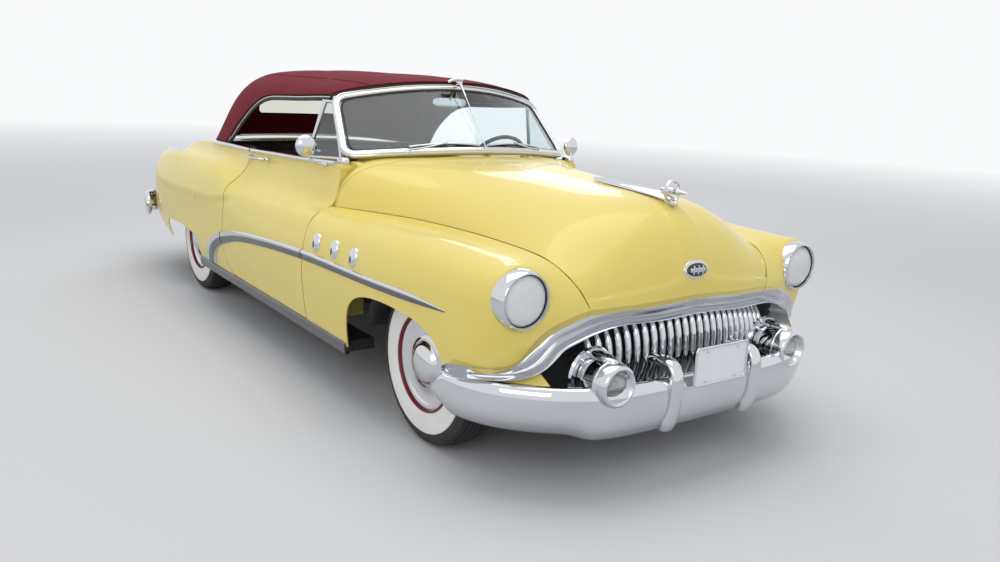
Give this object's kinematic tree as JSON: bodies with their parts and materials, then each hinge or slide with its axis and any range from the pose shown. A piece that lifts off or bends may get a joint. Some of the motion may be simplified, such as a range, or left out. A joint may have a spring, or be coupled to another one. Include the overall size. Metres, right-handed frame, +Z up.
{
  "type": "two-door convertible car",
  "caption": "Large 1950s convertible car with raised canvas top, toothed chrome grille, sweeping chrome side spear and wide whitewall tyres",
  "frame": {"origin": "on the ground below the middle of the car's length and width", "axes": "+X forward, +Y to the car's left, +Z up"},
  "size_m": [5.2812, 1.9696, 1.5578],
  "materials": {
    "body_paint": "gloss butter yellow enamel",
    "bright_metal": "polished plating",
    "top_canvas": "burgundy woven canvas",
    "window_glass": "faintly tinted clear glass",
    "lamp_glass": "fluted clear glass",
    "tail_lens": "red ribbed lens",
    "tyre_rubber": "black rubber with white sidewall band",
    "seat_leather": "maroon pleated leather",
    "dash_paint": "maroon enamel",
    "wheel_rim_plastic": "moulded gloss rim",
    "frame_black": "satin black",
    "cast_black": "rough cast",
    "floor_dark": "satin dark underbody coat",
    "exhaust_steel": "dull aluminised steel"
  },
  "bodies": {
    "root": {"chassis_frame": "frame_black", "cowl": "body_paint", "dashboard": "dash_paint", "engine": "cast_black", "engine_bay": "frame_black", "exhaust": "exhaust_steel", "floor_tub": "floor_dark", "front_bumper": "bright_metal", "front_fender_left": "body_paint", "front_fender_right": "body_paint", "front_seat": "seat_leather", "front_suspension": "frame_black", "fuel_tank": "exhaust_steel", "grille": "bright_metal", "grille_bar": "bright_metal", "headlamp_lenses": "lamp_glass", "headlamp_rings": "bright_metal", "quarter_panel_left": "body_paint", "quarter_panel_right": "body_paint", "radiator": "frame_black", "rear_axle": "cast_black", "rear_bumper": "bright_metal", "rear_deck": "body_paint", "rear_seat": "seat_leather", "rear_window": "window_glass", "soft_top": "top_canvas", "steering_column": "dash_paint", "tail_lamps": "tail_lens", "windshield_frame": "bright_metal", "windshield_glass": "window_glass"},
    "hood": {"hood": "body_paint", "hood_ornament": "bright_metal"},
    "trunk_lid": {"trunk_lid": "body_paint"},
    "steering_wheel": {"steering_wheel": "wheel_rim_plastic"},
    "door_left": {"door_left": "body_paint", "vent_window_left": "window_glass", "door_mirror_left": "bright_metal"},
    "knuckle_left": {"knuckle_left": "cast_black"},
    "door_right": {"door_right": "body_paint", "vent_window_right": "window_glass", "door_mirror_right": "bright_metal"},
    "knuckle_right": {"knuckle_right": "cast_black"},
    "wheel_front_left": {"wheel_front_left": "bright_metal", "tyre_front_left": "tyre_rubber"},
    "wheel_front_right": {"wheel_front_right": "bright_metal", "tyre_front_right": "tyre_rubber"},
    "wheel_rear_left": {"wheel_rear_left": "bright_metal", "tyre_rear_left": "tyre_rubber"},
    "wheel_rear_right": {"wheel_rear_right": "bright_metal", "tyre_rear_right": "tyre_rubber"}
  },
  "joints": [
    {"name": "steer_left", "type": "hinge", "parent": "root", "child": "knuckle_left", "pos_m": [1.773, 0.625, 0.36], "axis": [0, 0, 1], "range_deg": [-26, 26]},
    {"name": "steer_right", "type": "hinge", "parent": "root", "child": "knuckle_right", "pos_m": [1.773, -0.625, 0.36], "axis": [0, 0, 1], "range_deg": [-26, 26]},
    {"name": "spin_front_left", "type": "hinge", "parent": "knuckle_left", "child": "wheel_front_left", "pos_m": [1.773, 0.75, 0.36], "axis": [0, 1, 0], "continuous": true},
    {"name": "spin_front_right", "type": "hinge", "parent": "knuckle_right", "child": "wheel_front_right", "pos_m": [1.773, -0.75, 0.36], "axis": [0, 1, 0], "continuous": true},
    {"name": "spin_rear_left", "type": "hinge", "parent": "root", "child": "wheel_rear_left", "pos_m": [-1.313, 0.75, 0.36], "axis": [0, 1, 0], "continuous": true},
    {"name": "spin_rear_right", "type": "hinge", "parent": "root", "child": "wheel_rear_right", "pos_m": [-1.313, -0.75, 0.36], "axis": [0, 1, 0], "continuous": true},
    {"name": "turn_steering_wheel", "type": "hinge", "parent": "root", "child": "steering_wheel", "pos_m": [0.47, 0.4, 1.025], "axis": [-0.891, 0, 0.454], "range_deg": [-540, 540]},
    {"name": "open_door_left", "type": "hinge", "parent": "root", "child": "door_left", "pos_m": [0.7, 0.955, 0.6], "axis": [0, 0, -1], "range_deg": [0, 65]},
    {"name": "open_door_right", "type": "hinge", "parent": "root", "child": "door_right", "pos_m": [0.7, -0.955, 0.6], "axis": [0, 0, 1], "range_deg": [0, 65]},
    {"name": "open_hood", "type": "hinge", "parent": "root", "child": "hood", "pos_m": [0.85, 0.815, 0.9], "axis": [-0.9877, 0.1567, 0], "range_deg": [0, 55]},
    {"name": "open_trunk_lid", "type": "hinge", "parent": "root", "child": "trunk_lid", "pos_m": [-1.6525, 0, 1.044], "axis": [0, 1, 0], "range_deg": [0, 70]}
  ],
  "couplings": [
    {"joint": "steer_right", "follows": "steer_left", "ratio": 1}
  ]
}
